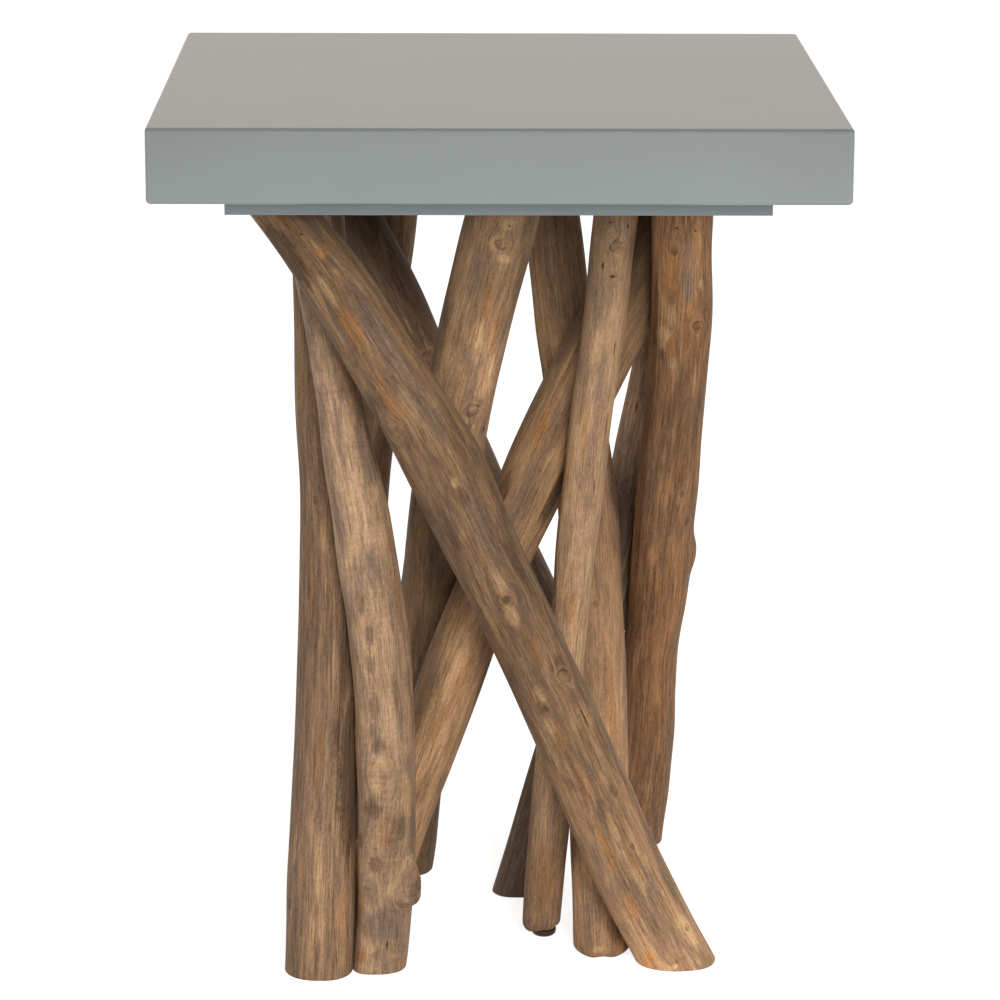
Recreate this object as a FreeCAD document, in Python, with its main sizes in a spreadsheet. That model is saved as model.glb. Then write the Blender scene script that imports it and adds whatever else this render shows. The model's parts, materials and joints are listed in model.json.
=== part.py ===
import FreeCAD, Part
import math
import os
import Sketcher

# Branch side table: a lacquered hollow box top on a plate that eleven crossed branches carry.
# Millimetres, Z up, floor at Z 0 under the middle of the top, front towards -Y.

doc = FreeCAD.newDocument("branch_side_table")
sheet = doc.addObject("Spreadsheet::Sheet", "sizes")
sheet_rows = []


def put(name, value):
    row = len(sheet_rows) + 1
    sheet_rows.append(name)
    sheet.set(f"A{row}", name)
    sheet.set(f"B{row}", str(value))
    sheet.setAlias(f"B{row}", name)


driving_sizes = {
    # The top is a box of thin panels on rails, with two ribs that take the plate's screws
    "table_height": 590,
    "top_width": 450,
    "top_depth": 450,
    "top_thickness": 49,
    "panel_thickness": 9,
    "rail_width": 38,
    "rib_width": 44,
    "rib_offset": 120,
    "edge_round": 2,
    "corner_round": 4,
    # The plate under the top
    "plate_width": 355,
    "plate_depth": 355,
    "plate_thickness": 15,
    # Screws that go down through the plate into the branches, and up through it into the ribs
    "screw_diameter": 5,
    "screw_head_diameter": 10,
    "branch_screw_length": 45,
    "plate_screw_length": 42,
    "plate_screw_inset": 27.5,
    "hole_fit": 0.1,
    # Screws between crossing branches, each sunk under a wooden plug
    "cross_screw_diameter": 5,
    "cross_head_diameter": 9,
    "cross_head_height": 3,
    "cross_screw_length": 50,
    "plug_diameter": 10,
    "plug_length": 8,
    "front_plug_height": 76,
    "front_screw_turn": 20,
    "fixing_margin": 60,
    # Flats where two branches bear on each other, and the sawn feet
    "flat_reach": 90,
    "long_flat_reach": 220,
    "flat_depth": 30,
    "flat_seam": 0.3,
    "foot_chamfer": 1.2,
    "thin_foot_chamfer": 4,
    # Levelling glide under the thin branch
    "glide_diameter": 17,
    "glide_height": 5,
    "glide_round": 3.5,
    "glide_gap": 0.3,
    "stud_diameter": 6,
    "stud_length": 26,
    "stud_seat": 3,
    "stud_fit": 0.3,
    "stud_room": 3,
    "insert_diameter": 10,
    "insert_length": 14,
    # Knots that stand proud of a branch: offset from its line, height and half sizes
    "stub_side": 14.5,
    "stub_front": 8.5,
    "stub_height": 60,
    "stub_reach": 10,
    "stub_rise": 19,
    "burl_side": 17,
    "burl_front": 4,
    "burl_height": 254,
    "burl_reach": 7,
    "burl_rise": 13,
}
worked_out_sizes = {
    "rail_height": "=top_thickness - 2 * panel_thickness",
    "plate_top": "=table_height - top_thickness",
    "plate_underside": "=plate_top - plate_thickness",
    "plate_screw_spacing": "=min(plate_depth; top_depth - 2 * rail_width) - 2 * plate_screw_inset",
    "thin_foot_height": "=glide_height + glide_gap",
}
for name, value in (driving_sizes | worked_out_sizes).items():
    put(name, value)

# Each branch: across, depth and diameter at its foot, a third up, two thirds up and its top
stations = ("foot", "low", "high", "top")
branches = {
    "front_diagonal": ((122, -138, 50), (43.5, -130, 51), (-36, -129, 49), (-147, -121, 46)),
    "left_outer": ((-121.5, -157, 46), (-114, -111, 45), (-113.5, -60, 42), (-122, -11, 38)),
    "left_inner": ((-80, -152, 36), (-76, -127, 40), (-99, -105, 36), (-131, -80, 33)),
    "rear_diagonal": ((106, 160, 40), (36, 127, 40), (-39.5, 84, 38), (-120, 40, 36)),
    "rear_left": ((-109, 119, 38), (-101, 110, 37), (-86, 104, 36), (-66, 95, 35)),
    "middle_lean": ((-64.5, 53, 43), (-48, -13, 44), (-28, -66, 46), (8, -118, 49)),
    "right_front": ((74.5, -121, 39), (71.5, -30, 41), (58, 3, 40), (34, 48, 37)),
    "thin_front": ((34.5, -88, 27), (47, -91, 28), (64.5, -76, 29), (83, -69, 31)),
    "rising_diagonal": ((-95, -119, 42), (-33, -78, 44), (43.5, -41, 47), (130, -8, 48)),
    "right_outer": ((108.5, 117, 38), (117, 18, 41), (124, -37, 43), (125.5, -60, 42)),
    "rear_slant": ((19.5, 3, 35), (68.5, 12, 34), (110, 32, 34), (138, 54, 36)),
}
for branch, survey in branches.items():
    for station, (across, depth, diameter) in zip(stations, survey):
        put(f"{branch}_{station}_across", across)
        put(f"{branch}_{station}_depth", depth)
        put(f"{branch}_{station}_diameter", diameter)
    run_across = f"({branch}_top_across - {branch}_foot_across)"
    run_depth = f"({branch}_top_depth - {branch}_foot_depth)"
    put(f"{branch}_stretch", f"=sqrt(1 + ({run_across}^2 + {run_depth}^2) / plate_underside^2)")
doc.recompute()

# Pairs that are screwed where they cross: the branch with the plug, then the branch the screw bites in
screwed_pairs = (
    ("left_inner", "rising_diagonal"),
    ("left_inner", "front_diagonal"),
    ("left_outer", "left_inner"),
    ("thin_front", "front_diagonal"),
    ("right_front", "rising_diagonal"),
    ("middle_lean", "rising_diagonal"),
    ("rising_diagonal", "right_outer"),
    ("rear_slant", "right_front"),
    ("rear_left", "rear_diagonal"),
)
# The pair whose screw is driven level from the front, so that its plug shows
front_pair = ("left_inner", "rising_diagonal")
# Pairs that lie along each other, so that their flats are long
lying_pairs = (("left_inner", "rising_diagonal"), ("left_outer", "left_inner"))
# Pairs that pass close to each other and are eased with a flat if they would touch
close_pairs = (
    ("rising_diagonal", "thin_front"),
    ("right_front", "front_diagonal"),
    ("rear_diagonal", "right_outer"),
    ("front_diagonal", "middle_lean"),
    ("right_front", "thin_front"),
    ("left_outer", "rising_diagonal"),
    ("right_outer", "rear_slant"),
    ("right_outer", "thin_front"),
    ("right_outer", "right_front"),
    ("left_outer", "rear_diagonal"),
    ("left_outer", "front_diagonal"),
    ("rising_diagonal", "rear_slant"),
)


def size(name):
    return float(getattr(sheet, name))


def add(kind, name, **bound):
    made = doc.addObject(kind, name)
    for prop, expression in bound.items():
        made.setExpression(prop, expression)
    return made


def cylinder(name, radius, height, base, direction):
    made = add("Part::Cylinder", name, Radius=radius, Height=height)
    made.Placement = FreeCAD.Placement(base, FreeCAD.Rotation(FreeCAD.Vector(0, 0, 1), direction))
    return made


def cone(name, radius_low, radius_high, height, base, direction):
    made = add("Part::Cone", name, Radius1=radius_low, Radius2=radius_high, Height=height)
    made.Placement = FreeCAD.Placement(base, FreeCAD.Rotation(FreeCAD.Vector(0, 0, 1), direction))
    return made


def joined(name, shapes):
    made = doc.addObject("Part::MultiFuse", name)
    made.Shapes = shapes
    return made


def cut(name, base, tools):
    made = doc.addObject("Part::Cut", name)
    made.Base = base
    made.Tool = tools[0] if len(tools) == 1 else joined(f"{name}_tools", tools)
    return made


# Lines of the branches


def surveyed(branch):
    found = []
    for index, station in enumerate(stations):
        level = size("plate_underside") * index / 3
        if index == 0 and branch == "thin_front":
            level = size("thin_foot_height")
        measures = [size(f"{branch}_{station}_{measure}") for measure in ("across", "depth", "diameter")]
        found.append((level, measures))
    return found


lines = {branch: surveyed(branch) for branch in branches}


def at_height(branch, height):
    totals = [0, 0, 0]
    for level, measures in lines[branch]:
        weight = 1
        for other, _ in lines[branch]:
            if other != level:
                weight *= (height - other) / (level - other)
        totals = [total + weight * measure for total, measure in zip(totals, measures)]
    return FreeCAD.Vector(totals[0], totals[1], height), totals[2] / 2


def heights_around(branch, centre, span):
    low = max(lines[branch][0][0], centre - span / 2)
    high = min(lines[branch][3][0], centre + span / 2)
    return [low + (high - low) * step / 24 for step in range(25)]


def closest_heights(first, second):
    span = size("plate_underside")
    middles = (span / 2, span / 2)
    for _ in range(5):
        ends = [
            [(at_height(branch, height)[0], height) for height in heights_around(branch, middle, span)]
            for branch, middle in zip((first, second), middles)
        ]
        tried = [(a.distanceToPoint(b), i, j) for a, i in ends[0] for b, j in ends[1]]
        middles = min(tried)[1:]
        span /= 5
    return middles


def height_beside(point, branch):
    span = size("plate_underside")
    middle = span / 2
    for _ in range(5):
        tried = heights_around(branch, middle, span)
        middle = min(tried, key=lambda height: at_height(branch, height)[0].distanceToPoint(point))
        span /= 5
    return middle


# Branches: lofts through level oval sections, so that feet and tops are sawn level
logs = {}
for branch in branches:
    lean_across = size(f"{branch}_top_across") - size(f"{branch}_foot_across")
    lean_depth = size(f"{branch}_top_depth") - size(f"{branch}_foot_depth")
    turn = FreeCAD.Rotation(FreeCAD.Vector(0, 0, 1), math.degrees(math.atan2(lean_depth, lean_across)))
    rings = []
    for index, station in enumerate(stations):
        half = f"sizes.{branch}_{station}_diameter / 2"
        ring = doc.addObject("Part::Ellipse", f"{branch}_{station}")
        ring.Placement = FreeCAD.Placement(FreeCAD.Vector(), turn)
        ring.setExpression("MajorRadius", f"{half} * sizes.{branch}_stretch")
        ring.setExpression("MinorRadius", half)
        ring.setExpression("Placement.Base.x", f"sizes.{branch}_{station}_across")
        ring.setExpression("Placement.Base.y", f"sizes.{branch}_{station}_depth")
        level = f"sizes.plate_underside * {index} / 3"
        if index == 0:
            level = "sizes.thin_foot_height" if branch == "thin_front" else "0"
        ring.setExpression("Placement.Base.z", level)
        rings.append(ring)
    log = doc.addObject("Part::Loft", f"{branch}_log")
    log.Sections = rings
    log.Solid = True
    log.Ruled = False
    logs[branch] = log
doc.recompute()

shaped = {}
for branch, log in logs.items():
    foot_level = lines[branch][0][0]
    rims = [
        number
        for number, edge in enumerate(log.Shape.Edges, 1)
        if abs(edge.BoundBox.ZMin - foot_level) < 0.01 and edge.BoundBox.ZLength < 0.01
    ]
    shaped[branch] = doc.addObject("Part::Chamfer", f"{branch}_foot_trimmed")
    shaped[branch].Base = log
    trim = size("thin_foot_chamfer" if branch == "thin_front" else "foot_chamfer")
    shaped[branch].Edges = [(number, trim, trim) for number in rims]


def knot(branch, name):
    lump = add(
        "Part::Ellipsoid",
        f"{branch}_{name}",
        Radius1=f"sizes.{name}_rise",
        Radius2=f"sizes.{name}_reach",
        Radius3=f"sizes.{name}_reach",
    )
    place, _ = at_height(branch, size(f"{name}_height"))
    lump.Placement.Base = place + FreeCAD.Vector(size(f"{name}_side"), -size(f"{name}_front"), 0)
    return joined(f"{branch}_with_{name}", [shaped[branch], lump])


shaped["left_inner"] = knot("left_inner", "stub")
shaped["right_outer"] = knot("right_outer", "burl")

tools = {branch: [] for branch in branches}
plate_tools = []
up = FreeCAD.Vector(0, 0, 1)
down = FreeCAD.Vector(0, 0, -1)

# Flats: each branch of a pair is planed back to a shared plane half a seam away


def plane_flats(first, second):
    height_first, height_second = closest_heights(first, second)
    start, radius_first = at_height(first, height_first)
    finish, radius_second = at_height(second, height_second)
    toward = finish - start
    distance = toward.Length
    toward.normalize()
    middle = start + toward * (distance + radius_first - radius_second) / 2
    reach = "long_flat_reach" if (first, second) in lying_pairs else "flat_reach"
    for branch, direction in ((first, toward), (second, toward * -1)):
        name = f"{branch}_flat_at_{second if branch == first else first}"
        block = add(
            "Part::Box", name, Length=f"sizes.{reach}", Width=f"sizes.{reach}", Height="sizes.flat_depth"
        )
        turn = FreeCAD.Rotation(up, direction)
        corner = FreeCAD.Vector(-size(reach) / 2, -size(reach) / 2, -size("flat_seam") / 2)
        block.Placement = FreeCAD.Placement(middle + turn.multVec(corner), turn)
        tools[branch].append(block)


for pair in screwed_pairs + close_pairs:
    plane_flats(*pair)

# Screws down through the plate into each branch's end grain
hole_radius = "sizes.screw_diameter / 2 + sizes.hole_fit"
sink = "(sizes.screw_head_diameter - sizes.screw_diameter) / 2"


def countersunk(name, place, direction, length):
    head = cone(
        f"{name}_head", "sizes.screw_head_diameter / 2", "sizes.screw_diameter / 2", sink, place, direction
    )
    shank = cylinder(f"{name}_shank", "sizes.screw_diameter / 2", length, place, direction)
    mouth = cone(
        f"{name}_mouth",
        "sizes.screw_head_diameter / 2 + sizes.hole_fit",
        hole_radius,
        sink,
        place,
        direction,
    )
    bore = cylinder(f"{name}_bore", hole_radius, f"{length} + sizes.hole_fit", place, direction)
    return joined(name, [head, shank]), joined(f"{name}_hole", [mouth, bore])


branch_screws = []
for branch in branches:
    place = FreeCAD.Vector(size(f"{branch}_top_across"), size(f"{branch}_top_depth"), size("plate_top"))
    screw, hole = countersunk(f"{branch}_top_screw", place, down, "sizes.branch_screw_length")
    branch_screws.append(screw)
    tools[branch].append(hole)
    plate_tools.append(hole)

# Screws up through the plate and the lower panel into the ribs
plate_screws = []
plate_holes = {-1: [], 1: []}
for side in (-1, 1):
    for end in (-1, 1):
        place = FreeCAD.Vector(
            side * size("rib_offset"), end * size("plate_screw_spacing") / 2, size("plate_underside")
        )
        name = f"plate_screw_{len(plate_screws) + 1}"
        screw, hole = countersunk(name, place, up, "sizes.plate_screw_length")
        plate_screws.append(screw)
        plate_holes[side].append(hole)
        plate_tools.append(hole)

# Screws between the branches, with their plugs cut flush
cross_screws = []
plugs = []
cross_radius = "sizes.cross_screw_diameter / 2"
head_radius = "sizes.cross_head_diameter / 2"
plug_radius = "sizes.plug_diameter / 2"
for driven, bitten in screwed_pairs:
    from_front = (driven, bitten) == front_pair
    height = size("front_plug_height") if from_front else closest_heights(driven, bitten)[0]
    height = min(max(height, size("fixing_margin")), size("plate_underside") - size("fixing_margin"))
    start, radius = at_height(driven, height)
    drive = at_height(bitten, height if from_front else height_beside(start, bitten))[0] - start
    if from_front:
        drive = FreeCAD.Rotation(down, size("front_screw_turn")).multVec(drive)
    drive.normalize()
    skin = start - drive * radius
    seat = skin + drive * size("plug_length")
    neck = seat + drive * size("cross_head_height")
    name = f"{driven}_to_{bitten}"
    head = cylinder(f"{name}_head", head_radius, "sizes.cross_head_height", seat, drive)
    shank = cylinder(f"{name}_shank", cross_radius, "sizes.cross_screw_length", neck, drive)
    cross_screws.append(joined(f"{name}_screw", [head, shank]))
    outside = skin - drive * size("plug_length")
    blank = cylinder(f"{name}_plug_blank", plug_radius, "2 * sizes.plug_length", outside, drive)
    plug = doc.addObject("Part::MultiCommon", f"{name}_plug")
    plug.Shapes = [blank, shaped[driven]]
    plugs.append(plug)
    mouth = cylinder(
        f"{name}_mouth",
        f"{plug_radius} + sizes.hole_fit",
        "2 * sizes.plug_length + sizes.cross_head_height",
        outside,
        drive,
    )
    bore = cylinder(
        f"{name}_bore",
        f"{cross_radius} + sizes.hole_fit",
        "sizes.cross_screw_length + sizes.hole_fit",
        neck,
        drive,
    )
    tools[driven].extend([mouth, bore])
    tools[bitten].append(bore)

# Levelling glide: a domed foot on a threaded stud, in an insert pressed into the thin branch
glide_place = FreeCAD.Vector(size("thin_front_foot_across"), size("thin_front_foot_depth"), 0)


def at_glide(name, radius, height, level):
    return cylinder(name, radius, height, glide_place + FreeCAD.Vector(0, 0, level), up)


stud_level = size("glide_height") - size("stud_seat")
stud = at_glide("stud", "sizes.stud_diameter / 2", "sizes.stud_length", stud_level)
dome_blank = at_glide("dome_blank", "sizes.glide_diameter / 2", "sizes.glide_height", 0)
doc.recompute()
dome = doc.addObject("Part::Fillet", "dome")
dome.Base = dome_blank
dome.Edges = [
    (number, size("glide_round"), size("glide_round"))
    for number, edge in enumerate(dome_blank.Shape.Edges, 1)
    if edge.BoundBox.ZMax < 0.01
]
glide = cut("glide", dome, [stud])
insert_hole = at_glide(
    "insert_hole", "sizes.insert_diameter / 2", "sizes.insert_length", size("thin_foot_height")
)
stud_hole = at_glide(
    "stud_hole",
    "sizes.stud_diameter / 2 + sizes.stud_fit",
    "sizes.stud_length + sizes.stud_room",
    stud_level,
)
insert = cut("insert", insert_hole, [stud_hole])
tools["thin_front"].extend([insert_hole, stud_hole])

# Panels, rails, ribs and plate


def origin_plane(body, role):
    return [feature for feature in body.Origin.OriginFeatures if feature.Role == role][0]


def board(name, length, width, height, across="0", depth="0", level="0"):
    body = doc.addObject("PartDesign::Body", name)
    sketch = body.newObject("Sketcher::SketchObject", f"{name}_outline")
    sketch.AttachmentSupport = [(origin_plane(body, "XY_Plane"), "")]
    sketch.MapMode = "FlatFace"
    corners = [FreeCAD.Vector(*corner, 0) for corner in ((-50, -50), (50, -50), (50, 50), (-50, 50))]
    for index in range(4):
        sketch.addGeometry(Part.LineSegment(corners[index], corners[(index + 1) % 4]), False)
    for index in range(4):
        sketch.addConstraint(Sketcher.Constraint("Coincident", index, 2, (index + 1) % 4, 1))
    for index, way in enumerate(("Horizontal", "Vertical", "Horizontal", "Vertical")):
        sketch.addConstraint(Sketcher.Constraint(way, index))
    sketch.addConstraint(Sketcher.Constraint("Symmetric", 0, 1, 2, 1, -1, 1))
    for line, way, expression in ((0, "DistanceX", length), (1, "DistanceY", width)):
        number = sketch.addConstraint(Sketcher.Constraint(way, line, 1, line, 2, 100))
        sketch.setExpression(f"Constraints[{number}]", expression)
    pad = body.newObject("PartDesign::Pad", f"{name}_pad")
    pad.Profile = sketch
    pad.setExpression("Length", height)
    body.setExpression("Placement.Base.x", across)
    body.setExpression("Placement.Base.y", depth)
    body.setExpression("Placement.Base.z", level)
    doc.recompute()
    return body


def rounded(body, radius, chosen):
    names = [f"Edge{number}" for number, edge in enumerate(body.Shape.Edges, 1) if chosen(edge.BoundBox)]
    base = body.Tip
    fillet = body.newObject("PartDesign::Fillet", f"{body.Name}_round_{len(body.Group)}")
    fillet.Base = (base, names)
    fillet.setExpression("Radius", radius)
    body.Tip = fillet
    doc.recompute()


def upright(box):
    return box.XLength < 0.01 and box.YLength < 0.01


full_width = "sizes.top_width"
full_depth = "sizes.top_depth"
top_panel = board(
    "top_panel_blank",
    full_width,
    full_depth,
    "sizes.panel_thickness",
    level="sizes.table_height - sizes.panel_thickness",
)
bottom_panel = board(
    "bottom_panel_blank", full_width, full_depth, "sizes.panel_thickness", level="sizes.plate_top"
)
for panel, rim in ((top_panel, size("table_height")), (bottom_panel, size("plate_top"))):
    rounded(panel, "sizes.corner_round", upright)
    rounded(panel, "sizes.edge_round", lambda box: box.ZLength < 0.01 and abs(box.ZMax - rim) < 0.01)

rail_level = "sizes.plate_top + sizes.panel_thickness"
rail_depth = "(sizes.top_depth - sizes.rail_width) / 2"
rail_across = "(sizes.top_width - sizes.rail_width) / 2"
between_rails = "sizes.top_depth - 2 * sizes.rail_width"
long_rails = {}
for name, sign in (("front_rail", "-"), ("back_rail", "")):
    rail = board(
        name,
        full_width,
        "sizes.rail_width",
        "sizes.rail_height",
        depth=f"{sign}{rail_depth}",
        level=rail_level,
    )
    outer = -size("top_depth") / 2 if sign else size("top_depth") / 2
    rounded(rail, "sizes.corner_round", lambda box: upright(box) and abs(box.YMin - outer) < 0.01)
    long_rails[name] = rail
short_rails = {
    name: board(
        name,
        "sizes.rail_width",
        between_rails,
        "sizes.rail_height",
        across=f"{sign}{rail_across}",
        level=rail_level,
    )
    for name, sign in (("left_rail", "-"), ("right_rail", ""))
}
ribs = {
    side: board(
        f"{name}_blank",
        "sizes.rib_width",
        between_rails,
        "sizes.rail_height",
        across=f"{side} * sizes.rib_offset",
        level=rail_level,
    )
    for name, side in (("left_rib", -1), ("right_rib", 1))
}
plate_blank = board(
    "plate_blank",
    "sizes.plate_width",
    "sizes.plate_depth",
    "sizes.plate_thickness",
    level="sizes.plate_underside",
)

# Finished pieces


def group(name, members):
    made = doc.addObject("Part::Compound", name)
    made.Links = members
    return made


nodes = {
    "top_panel": top_panel,
    "bottom_panel": cut("bottom_panel", bottom_panel, plate_holes[-1] + plate_holes[1]),
    "left_rib": cut("left_rib", ribs[-1], plate_holes[-1]),
    "right_rib": cut("right_rib", ribs[1], plate_holes[1]),
    "mounting_plate": cut("mounting_plate", plate_blank, plate_tools),
    "branch_screws": group("branch_screws", branch_screws),
    "plate_screws": group("plate_screws", plate_screws),
    "cross_screws": group("cross_screws", cross_screws),
    "cross_plugs": group("cross_plugs", plugs),
    "glide": glide,
    "glide_stud": stud,
    "glide_insert": insert,
}
nodes.update(long_rails)
nodes.update(short_rails)
for branch in branches:
    nodes[f"branch_{branch}"] = cut(f"branch_{branch}", shaped[branch], tools[branch])
for node, piece in nodes.items():
    piece.Label = node
doc.recompute()

# Checks and export
for piece in doc.Objects:
    if "Invalid" in piece.State or "Error" in piece.State:
        raise RuntimeError(f"{piece.Name} did not build: {piece.State}")
os.makedirs("parts", exist_ok=True)
for node, piece in nodes.items():
    if piece.Shape.isNull() or not piece.Shape.isValid():
        raise RuntimeError(f"{node} has no valid shape")
    piece.Shape.exportStep(f"parts/{node}.step")
print(len(nodes), "pieces written")
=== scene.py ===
import json
import math

import bpy
import numpy as np
from mathutils import Matrix, Vector

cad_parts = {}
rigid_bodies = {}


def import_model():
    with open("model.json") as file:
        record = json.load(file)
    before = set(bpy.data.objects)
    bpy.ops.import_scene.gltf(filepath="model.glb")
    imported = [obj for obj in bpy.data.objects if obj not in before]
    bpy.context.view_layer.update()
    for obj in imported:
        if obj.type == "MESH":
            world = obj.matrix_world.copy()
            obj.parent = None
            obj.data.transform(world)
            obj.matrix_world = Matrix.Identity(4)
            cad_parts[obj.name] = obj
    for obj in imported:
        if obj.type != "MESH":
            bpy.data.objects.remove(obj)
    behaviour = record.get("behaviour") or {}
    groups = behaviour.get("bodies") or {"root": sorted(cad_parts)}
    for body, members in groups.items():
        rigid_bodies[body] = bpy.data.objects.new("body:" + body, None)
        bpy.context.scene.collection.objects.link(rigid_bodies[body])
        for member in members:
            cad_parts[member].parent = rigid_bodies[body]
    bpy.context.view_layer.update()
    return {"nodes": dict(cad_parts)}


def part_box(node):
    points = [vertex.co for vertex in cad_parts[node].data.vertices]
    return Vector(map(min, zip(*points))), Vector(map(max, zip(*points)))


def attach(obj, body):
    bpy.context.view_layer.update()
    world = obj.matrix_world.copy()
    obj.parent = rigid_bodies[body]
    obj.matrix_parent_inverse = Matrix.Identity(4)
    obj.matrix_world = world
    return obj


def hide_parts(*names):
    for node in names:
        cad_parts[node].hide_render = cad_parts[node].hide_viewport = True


for leftover in list(bpy.data.objects):
    bpy.data.objects.remove(leftover)
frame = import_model()
mm = 0.001
norm = np.linalg.norm
print("frame loaded with", len(frame["nodes"]), "nodes")


# small helpers for shader nodes

def paint(red, green, blue):  # a screen colour as linear light
    shares = [channel / 255 for channel in (red, green, blue)]
    return [share / 12.92 if share < 0.04 else ((share + 0.055) / 1.055) ** 2.4 for share in shares] + [1]


def newMaterial(name):
    material = bpy.data.materials.new(name)
    material.use_nodes = True
    return material, material.node_tree, material.node_tree.nodes["Principled BSDF"]


def plug(tree, value, socket):
    if isinstance(value, bpy.types.NodeSocket):
        tree.links.new(value, socket)
    else:
        socket.default_value = value


def calc(tree, way, first, second=0.0):
    node = tree.nodes.new("ShaderNodeMath")
    node.operation = way
    for value, socket in zip((first, second), node.inputs):
        plug(tree, value, socket)
    return node.outputs[0]


def blend(tree, amount, first, second):
    node = tree.nodes.new("ShaderNodeMix")
    node.data_type = "RGBA"
    for value, number in ((amount, 0), (first, 6), (second, 7)):
        plug(tree, value, node.inputs[number])
    return node.outputs[2]


def fade(tree, value, start, end, low=0.0, high=1.0):  # smooth step from low to high
    node = tree.nodes.new("ShaderNodeMapRange")
    node.interpolation_type = "SMOOTHSTEP"
    for setting, socket in zip((value, start, end, low, high), node.inputs):
        plug(tree, setting, socket)
    return node.outputs[0]


def noise(tree, place, scale, seed=0.0, detail=3.0, rough=0.5, warp=0.0):
    spread = tree.nodes.new("ShaderNodeMapping")
    plug(tree, place, spread.inputs["Vector"])
    spread.inputs["Scale"].default_value = scale
    spread.inputs["Location"].default_value = (seed * 3.17, seed * 1.71, seed * 2.39)
    grain = tree.nodes.new("ShaderNodeTexNoise")
    tree.links.new(spread.outputs[0], grain.inputs["Vector"])
    for setting, value in (("Scale", 1.0), ("Detail", detail), ("Roughness", rough), ("Distortion", warp)):
        grain.inputs[setting].default_value = value
    return grain.outputs["Fac"]


def attribute(tree, name):
    node = tree.nodes.new("ShaderNodeAttribute")
    node.attribute_name = name
    return node


def objectPlace(tree):
    return tree.nodes.new("ShaderNodeTexCoord").outputs["Object"]


def bump(tree, shader, height, distance, strength):
    node = tree.nodes.new("ShaderNodeBump")
    node.inputs["Strength"].default_value = strength
    node.inputs["Distance"].default_value = distance
    plug(tree, height, node.inputs["Height"])
    tree.links.new(node.outputs[0], shader.inputs["Normal"])


def centred(tree, value, gain):  # noise about zero
    return times(tree, calc(tree, "SUBTRACT", value, 0.5), gain)


def total(tree, *values):
    result = values[0]
    for value in values[1:]:
        result = calc(tree, "ADD", result, value)
    return result


def times(tree, first, second):
    return calc(tree, "MULTIPLY", first, second)


def scaled(tree, colour, amount):
    node = tree.nodes.new("ShaderNodeVectorMath")
    node.operation = "SCALE"
    plug(tree, colour, node.inputs[0])
    plug(tree, amount, node.inputs["Scale"])
    return node.outputs[0]


def split(tree, vector):
    node = tree.nodes.new("ShaderNodeSeparateXYZ")
    tree.links.new(vector, node.inputs[0])
    return node.outputs


def finish(tree, shader, colour, roughness, height, depth, strength):
    plug(tree, colour, shader.inputs["Base Color"])
    plug(tree, roughness, shader.inputs["Roughness"])
    bump(tree, shader, height, depth, strength)


# peeled branch wood: fibres run along the straightened branch and flow round its knots

woodLook = {
    "grains": {  # scale, seed offset, detail, roughness and distortion of each noise
        "hair": ((1500, 1500, 100), 1, 2, 0.6),
        "lines": ((620, 620, 20), 0, 5, 0.65, 0.2),
        "streak": ((230, 230, 8), 2, 5, 0.65, 0.3),
        "layer": ((44, 44, 9), 5, 6, 0.62, 0.6),     # wide areas of a deeper layer
        "bark": ((100, 100, 23), 9, 6, 0.6, 0.5),    # grey remains of the outermost layer
        "fresh": ((90, 90, 20), 13, 6, 0.6, 0.5),    # small places where a layer has come away
        "crack": ((950, 950, 26), 15, 2, 0.5),
        "grit": ((1000, 1000, 420), 21, 2, 0.6),
        "rays": ((70, 70, 420), 19, 2, 0.5),
        "ragged": ((420, 420, 330), 17, 3, 0.6),
    },
    # how far each noise moves the edges of layers, stains, patches of painted shade and knots
    "torn": {"lines": 0.2, "hair": 0.1, "streak": 0.25},
    "patchTorn": {"ragged": 0.7, "bark": 1.2},
    "knotTorn": {"ragged": 1.3, "lines": 0.5},
    "patchFollow": 2.6,     # how much further stains and painted shade patches are torn than layers
    "lightness": {"hair": 1.25, "grit": 0.85, "streak": 0.76, "layer": 0.66},
    "lineLightness": 0.19,
    "relief": {"hair": 0.25, "lines": 0.7, "streak": 0.8, "layer": 0.6, "grit": 0.1},
    "steps": (0.3, -0.3, -0.9, -0.5),   # height of bark, bared places, knots and outlines of knots
    "layerEdges": {"layer": (0.4, 0.6), "bark": (0.48, 0.64), "fresh": (0.53, 0.68)},
    "lineEdges": (0.36, 0.64),
    "crackEdges": (0.6, 0.68),
    "patchEdges": (0.55, 1.2),
    "greyCover": 0.8,
    "freshCover": 0.35,
    "crackCover": 0.4,
    "mostCover": 0.9,       # of a stain, a painted shade patch or a knot
    "fresh": paint(196, 158, 116),
    "pale": paint(202, 164, 120),
    "orange": paint(176, 124, 76),
    "grey": paint(130, 109, 95),
    # dark: cracks, dark marks, and patches of painted shade on the branches
    "dark": paint(96, 75, 58),
    "knotDark": paint(70, 50, 37),
    "bump": (0.5 * mm, 0.9),
    "roughness": 0.62,
    "lineRoughness": 0.25,
    "greyRoughness": 0.08,
    "finish": {
        "Specular IOR Level": 0.15,
        "Sheen Weight": 0.06,
        "Sheen Roughness": 0.3,
        "Sheen Tint": (1, 0.86, 0.72, 1),
    },
}
# kinds of patches laid on the wood: stains, and dark ones of which some are painted shade
patchKinds = {"pale": 0.8, "orange": 0.74, "grey": 0.74, "dark": 0.74}  # how far each hides the wood
knotLook = {  # places by shares of a knot's size
    "core": (0.55, 1.05),
    "coreDark": 0.34,
    "ringPace": 14.0,
    "ringEnd": (0.8, 1.1),
    "ringDark": 0.16,
    "outlineStart": (0.82, 1.0),
    "outlineEnd": (1.0, 1.2),
    "outlineDark": 0.8,
    "fringeStart": (1.05, 1.25),
    "fringeEnd": (1.3, 1.9),
    "fringePale": (0.35, 0.3),  # by the outline's darkness, and at most
}


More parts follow.
